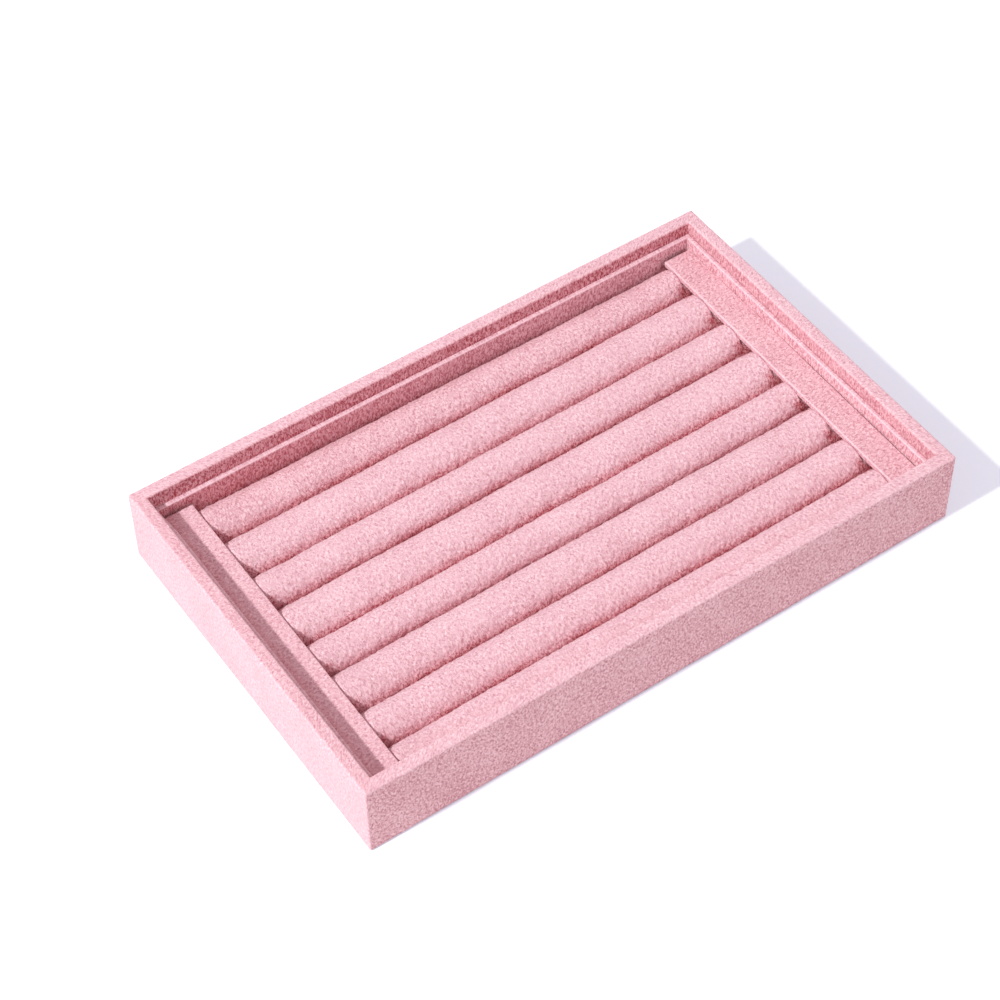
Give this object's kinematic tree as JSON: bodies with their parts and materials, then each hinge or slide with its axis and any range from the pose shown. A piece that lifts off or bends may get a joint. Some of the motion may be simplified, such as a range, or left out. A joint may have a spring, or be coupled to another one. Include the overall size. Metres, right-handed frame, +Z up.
{
  "type": "jewelry tray",
  "caption": "Open rectangular velvet-covered jewelry tray: a low walled case with a lift-out insert of foam rolls that grip rings in the slots between them.",
  "frame": {"origin": "centre of the underside, on the surface that the tray stands on", "axes": "+X along the rolls, to the right as seen from the front; +Y from the front wall to the back wall; +Z up"},
  "size_m": [0.225, 0.14, 0.03],
  "materials": {
    "velvet": "matte",
    "foam": "matte",
    "board": "matte",
    "card": "matte",
    "felt": "matte"
  },
  "bodies": {
    "case": {"front_wall_board": "board", "back_wall_board": "board", "left_wall_board": "board", "right_wall_board": "board", "base_board": "board", "outer_velvet_wrap": "velvet", "floor_velvet": "velvet", "underside_felt": "felt", "front_liner_card": "card", "back_liner_card": "card", "left_liner_card": "card", "right_liner_card": "card", "front_liner_velvet": "velvet", "back_liner_velvet": "velvet", "left_liner_velvet": "velvet", "right_liner_velvet": "velvet"},
    "insert": {"insert_card": "card", "roll_1_foam": "foam", "roll_2_foam": "foam", "roll_3_foam": "foam", "roll_4_foam": "foam", "roll_5_foam": "foam", "roll_6_foam": "foam", "roll_7_foam": "foam", "roll_8_foam": "foam", "roll_1_velvet": "velvet", "roll_2_velvet": "velvet", "roll_3_velvet": "velvet", "roll_4_velvet": "velvet", "roll_5_velvet": "velvet", "roll_6_velvet": "velvet", "roll_7_velvet": "velvet", "roll_8_velvet": "velvet", "left_strip_board": "card", "right_strip_board": "card", "left_strip_velvet": "velvet", "right_strip_velvet": "velvet"}
  },
  "joints": [
    {"name": "insert_lift", "type": "slide", "parent": "case", "child": "insert", "axis": [0, 0, 1], "range_m": [0, 0.03]}
  ]
}
